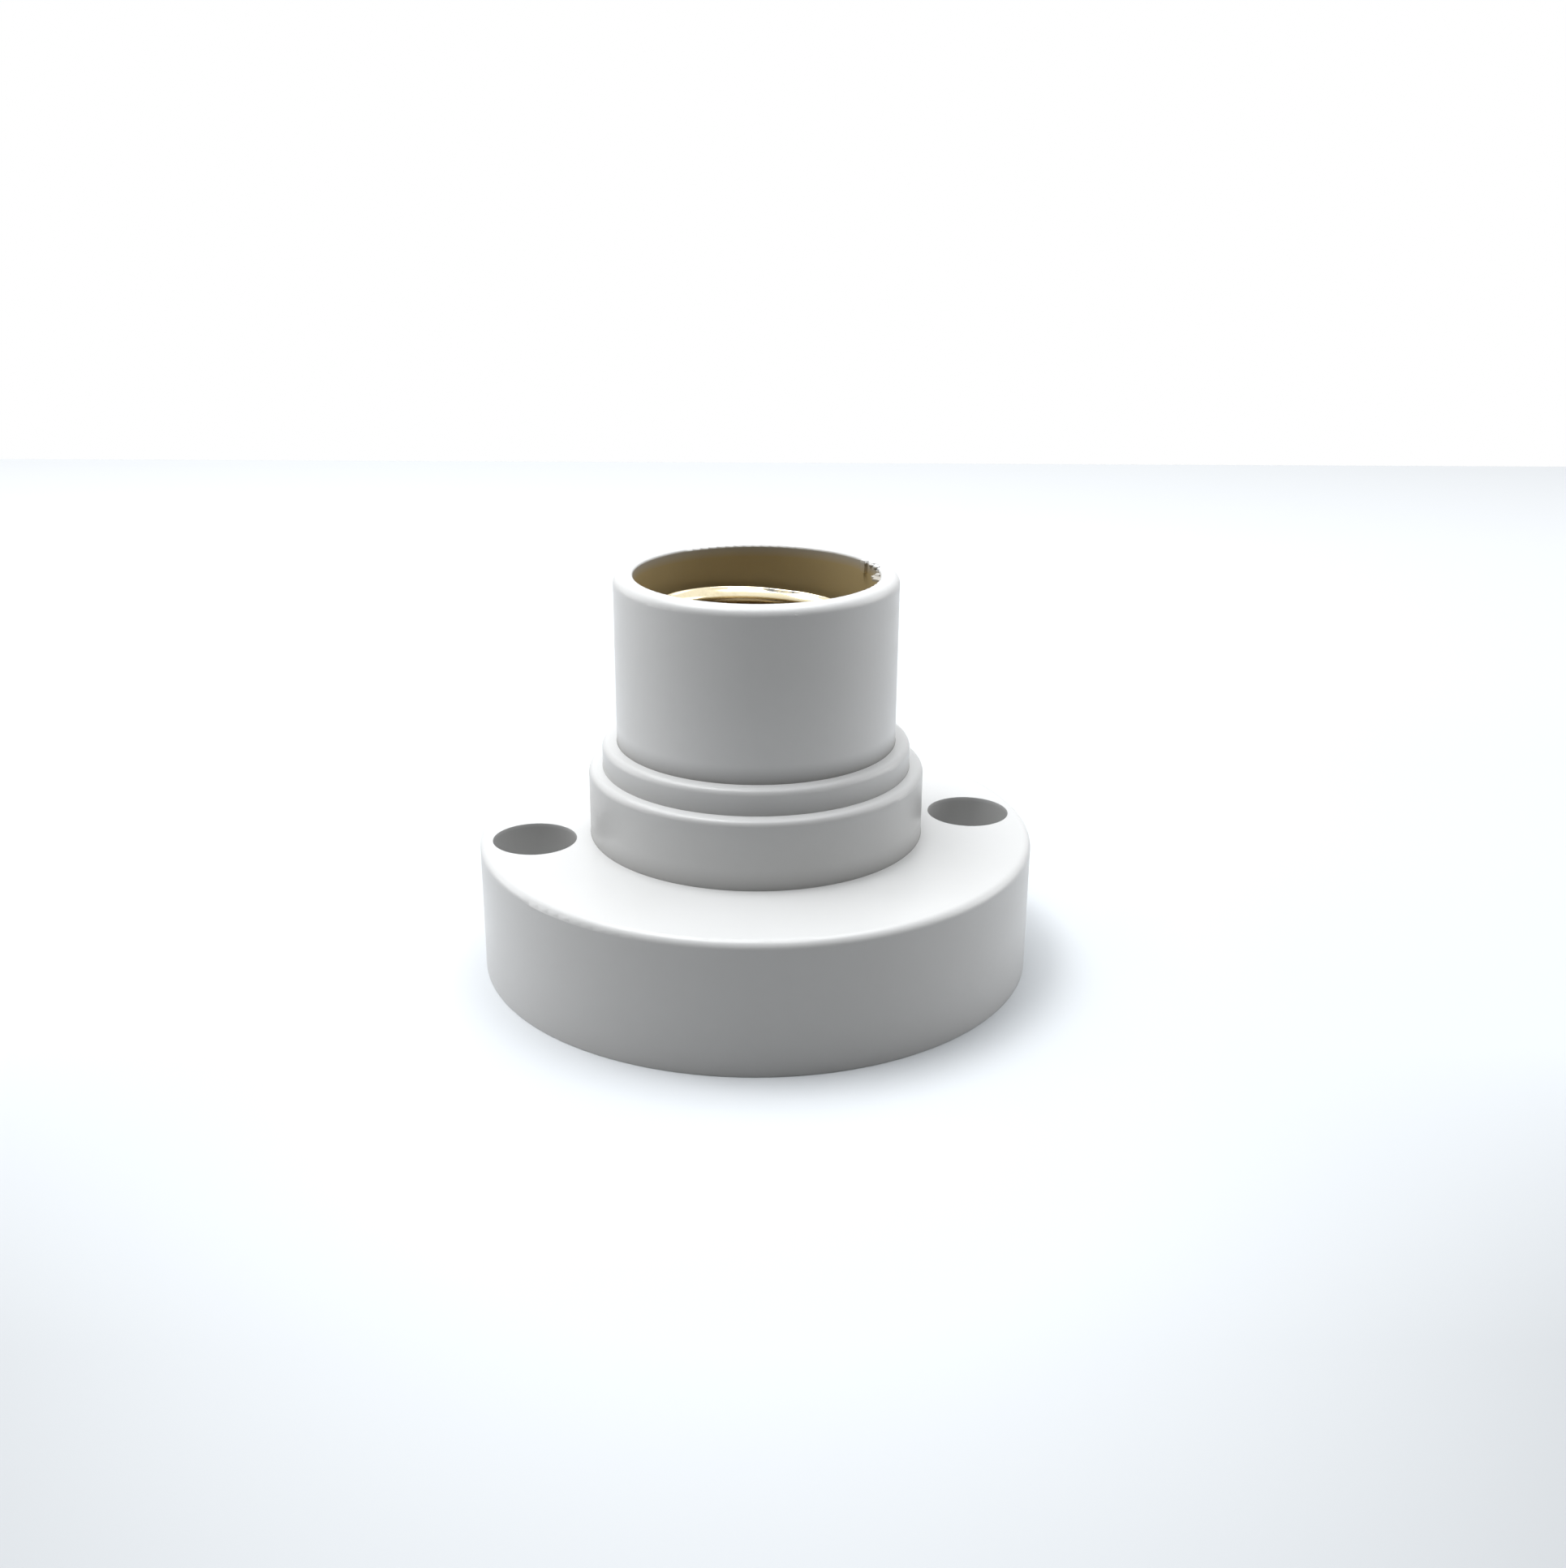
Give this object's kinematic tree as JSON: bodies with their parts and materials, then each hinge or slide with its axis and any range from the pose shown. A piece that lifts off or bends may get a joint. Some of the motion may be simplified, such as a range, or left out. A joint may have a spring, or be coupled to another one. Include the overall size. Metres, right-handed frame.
{
  "type": "lamp holder",
  "caption": "Surface-mounted screw lamp holder: round hollow base with slotted fixing wells, stepped collar and plain barrel around a brass screw shell, with rear wire clamps.",
  "frame": {"origin": "centre of the base's rear rim, on the lamp axis", "axes": "+Z along the lamp axis, out of the mouth; +X through the centre of a fixing well, the neutral side; -Z towards the mounting surface"},
  "size_m": [0.076, 0.076, 0.0543],
  "materials": {
    "white_plastic": "fine satin moulding",
    "block_plastic": "matt moulding",
    "brass": "bright rolled sheet",
    "brass_rivet": "rolled-over tubular rivet",
    "spring_bronze": "rolled spring strip",
    "nickel_contact": "dull nickel plate",
    "zinc_steel": "bright zinc plate"
  },
  "bodies": {
    "holder": {"housing": "white_plastic", "contact_block": "block_plastic", "block_screws": "zinc_steel", "screw_shell": "brass", "shell_rivets": "brass_rivet", "centre_contact_spring": "spring_bronze", "line_terminal": "brass", "line_rivet": "brass_rivet", "neutral_terminal": "brass", "neutral_rivet": "brass_rivet"},
    "contact_button": {"contact_button": "nickel_contact"},
    "line_washer": {"line_washer": "zinc_steel"},
    "line_screw": {"line_screw": "zinc_steel"},
    "neutral_washer": {"neutral_washer": "zinc_steel"},
    "neutral_screw": {"neutral_screw": "zinc_steel"}
  },
  "joints": [
    {"name": "contact_press", "type": "slide", "parent": "holder", "child": "contact_button", "axis": [0, 0, -1], "range_m": [0, 0.0018], "stiffness_N_per_m": 1500, "springref_m": -0.0004, "deforming": ["centre_contact_spring"]},
    {"name": "line_clamp_travel", "type": "slide", "parent": "holder", "child": "line_washer", "axis": [0, 0, -1], "range_m": [0, 0.0018]},
    {"name": "line_screw_turn", "type": "hinge", "parent": "line_washer", "child": "line_screw", "pos_m": [-0.0135, 0, 0.0174], "axis": [0, 0, -1], "range_deg": [0, 1080]},
    {"name": "neutral_clamp_travel", "type": "slide", "parent": "holder", "child": "neutral_washer", "axis": [0, 0, -1], "range_m": [0, 0.0018]},
    {"name": "neutral_screw_turn", "type": "hinge", "parent": "neutral_washer", "child": "neutral_screw", "pos_m": [0.0135, 0, 0.0174], "axis": [0, 0, -1], "range_deg": [0, 1080]}
  ],
  "couplings": [
    {"joint": "line_screw_turn", "follows": "line_clamp_travel", "rad_per_m": 10472},
    {"joint": "neutral_screw_turn", "follows": "neutral_clamp_travel", "rad_per_m": 10472}
  ]
}
